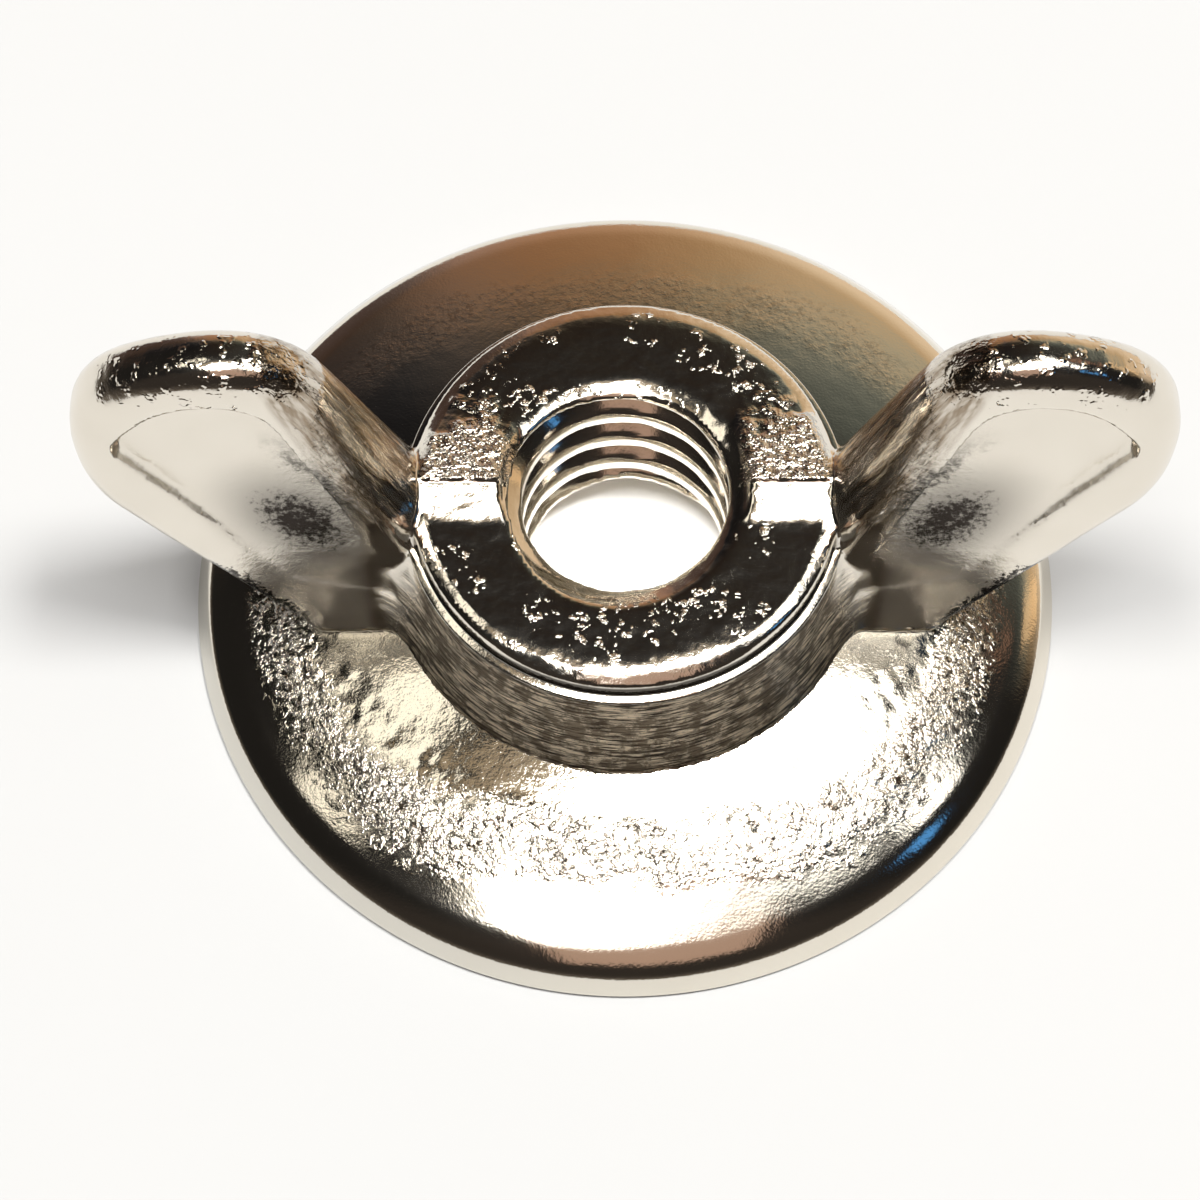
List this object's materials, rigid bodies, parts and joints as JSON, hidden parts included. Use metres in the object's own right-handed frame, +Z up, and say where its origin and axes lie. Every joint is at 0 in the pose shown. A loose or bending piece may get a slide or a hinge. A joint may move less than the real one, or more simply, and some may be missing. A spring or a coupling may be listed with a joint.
{
  "type": "wing nut",
  "caption": "Nickel-plated wing nut with two upright finger wings and a tapped bore, on a wide domed base washer, modelled as a separate captive washer.",
  "frame": {"origin": "centre of the bearing face under the base washer, on the axis of the bore", "axes": "+Z up along the bore, +X towards one wing, the other wing towards -X"},
  "size_m": [0.0262, 0.0224, 0.0129],
  "materials": {
    "washer_nickel": "bright nickel plate with fine orange-peel texture",
    "body_nickel": "bright nickel plate over a cast body, brushed round the neck and satin on the wings"
  },
  "bodies": {
    "washer": {"base_washer": "washer_nickel"},
    "nut": {"nut_body": "body_nickel"}
  },
  "joints": [
    {"name": "nut_swivel", "type": "hinge", "parent": "washer", "child": "nut", "pos_m": [0, 0, 0], "axis": [0, 0, 1], "continuous": true}
  ]
}
